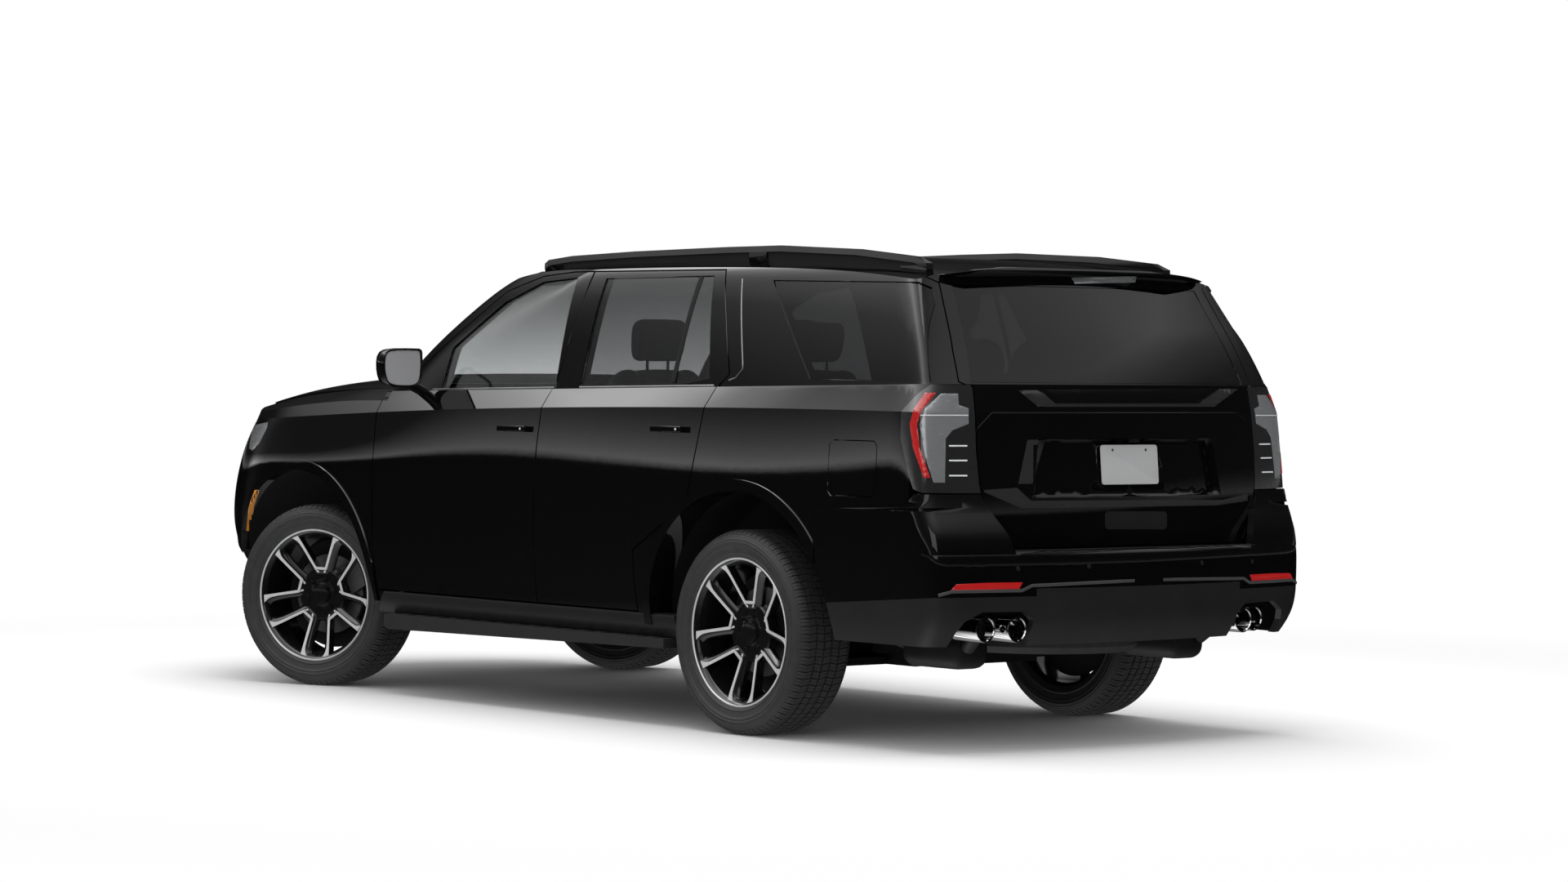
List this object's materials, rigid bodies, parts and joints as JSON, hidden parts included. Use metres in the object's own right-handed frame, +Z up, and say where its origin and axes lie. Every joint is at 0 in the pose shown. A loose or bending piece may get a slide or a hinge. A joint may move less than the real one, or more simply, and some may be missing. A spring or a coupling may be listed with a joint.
{
  "type": "sport utility vehicle",
  "caption": "Full-size sport utility vehicle with opening doors, hood and liftgate, that rolls and steers on its wheels.",
  "frame": {"origin": "on the floor under the middle of the vehicle's length and width", "axes": "+X towards the nose, +Y to the vehicle's left, +Z up"},
  "size_m": [5.3521, 2.384, 1.925],
  "materials": {
    "paint": "gloss",
    "tinted_glass": "gloss",
    "black_trim": "gloss",
    "grey_plastic": "satin",
    "lamp_lens": "gloss",
    "red_lens": "gloss",
    "chassis_metal": "satin",
    "underbody": "satin",
    "engine_metal": "satin",
    "cast_metal": "satin",
    "exhaust_steel": "satin",
    "rim_metal": "gloss",
    "tyre": "matte",
    "cabin_plastic": "matte",
    "leather": "satin",
    "leather_black": "satin"
  },
  "bodies": {
    "body": {"ladder_frame": "chassis_metal", "engine_block": "engine_metal", "floor_pan": "underbody", "body_sides": "paint", "roof_panel": "paint", "front_fenders": "paint", "cowl_bulkhead": "underbody", "fixed_glass": "tinted_glass", "front_bumper": "paint", "grille": "black_trim", "headlamps": "lamp_lens", "tail_lamps": "red_lens", "rear_bumper": "paint", "roof_rails": "black_trim", "running_boards": "grey_plastic", "dashboard": "cabin_plastic", "front_seats": "leather", "rear_seats": "leather", "front_suspension": "chassis_metal", "rear_suspension": "chassis_metal", "exhaust_system": "exhaust_steel", "fuel_tank": "grey_plastic", "spare_wheel": "tyre", "wheel_liners": "underbody"},
    "hood": {"hood": "paint"},
    "liftgate": {"liftgate": "paint", "rear_window": "tinted_glass"},
    "fuel_flap": {"fuel_flap": "paint"},
    "steering_wheel": {"steering_wheel": "leather_black"},
    "front_door_left": {"front_door_left": "paint", "front_glass_left": "tinted_glass", "mirror_left": "paint"},
    "rear_door_left": {"rear_door_left": "paint", "rear_glass_left": "tinted_glass"},
    "knuckle_left": {"knuckle_front_left": "cast_metal"},
    "front_wheel_left": {"rim_front_left": "rim_metal", "tyre_front_left": "tyre"},
    "rear_wheel_left": {"rim_rear_left": "rim_metal", "tyre_rear_left": "tyre"},
    "front_door_right": {"front_door_right": "paint", "front_glass_right": "tinted_glass", "mirror_right": "paint"},
    "rear_door_right": {"rear_door_right": "paint", "rear_glass_right": "tinted_glass"},
    "knuckle_right": {"knuckle_front_right": "cast_metal"},
    "front_wheel_right": {"rim_front_right": "rim_metal", "tyre_front_right": "tyre"},
    "rear_wheel_right": {"rim_rear_right": "rim_metal", "tyre_rear_right": "tyre"}
  },
  "joints": [
    {"name": "hood_hinge", "type": "hinge", "parent": "body", "child": "hood", "pos_m": [1.179, 0, 1.396], "axis": [0, -1, 0], "range_deg": [0, 46]},
    {"name": "liftgate_hinge", "type": "hinge", "parent": "body", "child": "liftgate", "pos_m": [-2.206, 0, 1.842], "axis": [0, 1, 0], "range_deg": [0, 82]},
    {"name": "fuel_flap_hinge", "type": "hinge", "parent": "body", "child": "fuel_flap", "pos_m": [-1.947, 1.006, 1.06], "axis": [0, 0, 1], "range_deg": [-95, 0]},
    {"name": "steering_wheel_turn", "type": "hinge", "parent": "body", "child": "steering_wheel", "pos_m": [0.5, 0.4, 1.105], "axis": [-0.9063, 0, 0.4226], "range_deg": [-840, 195]},
    {"name": "front_door_left_hinge", "type": "hinge", "parent": "body", "child": "front_door_left", "pos_m": [1.084, 1.021, 0.9], "axis": [0, 0, 1], "range_deg": [-68, 0]},
    {"name": "rear_door_left_hinge", "type": "hinge", "parent": "body", "child": "rear_door_left", "pos_m": [-0.095, 1.021, 0.9], "axis": [0, 0, 1], "range_deg": [-68, 0]},
    {"name": "steer_left", "type": "hinge", "parent": "body", "child": "knuckle_left", "pos_m": [1.666, 0.795, 0.402], "axis": [0, 0, 1], "range_deg": [-55.3, 12.7]},
    {"name": "front_wheel_left_spin", "type": "hinge", "parent": "knuckle_left", "child": "front_wheel_left", "pos_m": [1.63912, 0.86394, 0.402], "axis": [-0.3633, 0.9317, 0], "continuous": true},
    {"name": "rear_wheel_left_spin", "type": "hinge", "parent": "body", "child": "rear_wheel_left", "pos_m": [-1.405, 0.869, 0.402], "axis": [0, 1, 0], "continuous": true},
    {"name": "front_door_right_hinge", "type": "hinge", "parent": "body", "child": "front_door_right", "pos_m": [1.084, -1.021, 0.9], "axis": [0, 0, 1], "range_deg": [0, 68]},
    {"name": "rear_door_right_hinge", "type": "hinge", "parent": "body", "child": "rear_door_right", "pos_m": [-0.095, -1.021, 0.9], "axis": [0, 0, 1], "range_deg": [0, 68]},
    {"name": "steer_right", "type": "hinge", "parent": "body", "child": "knuckle_right", "pos_m": [1.666, -0.795, 0.402], "axis": [0, 0, 1], "range_deg": [-55.3, 12.7]},
    {"name": "front_wheel_right_spin", "type": "hinge", "parent": "knuckle_right", "child": "front_wheel_right", "pos_m": [1.69288, -0.86394, 0.402], "axis": [-0.3633, 0.9317, 0], "continuous": true},
    {"name": "rear_wheel_right_spin", "type": "hinge", "parent": "body", "child": "rear_wheel_right", "pos_m": [-1.405, -0.869, 0.402], "axis": [0, 1, 0], "continuous": true}
  ],
  "couplings": [
    {"joint": "steer_right", "follows": "steer_left", "ratio": 1},
    {"joint": "steering_wheel_turn", "follows": "steer_left", "ratio": 15}
  ]
}
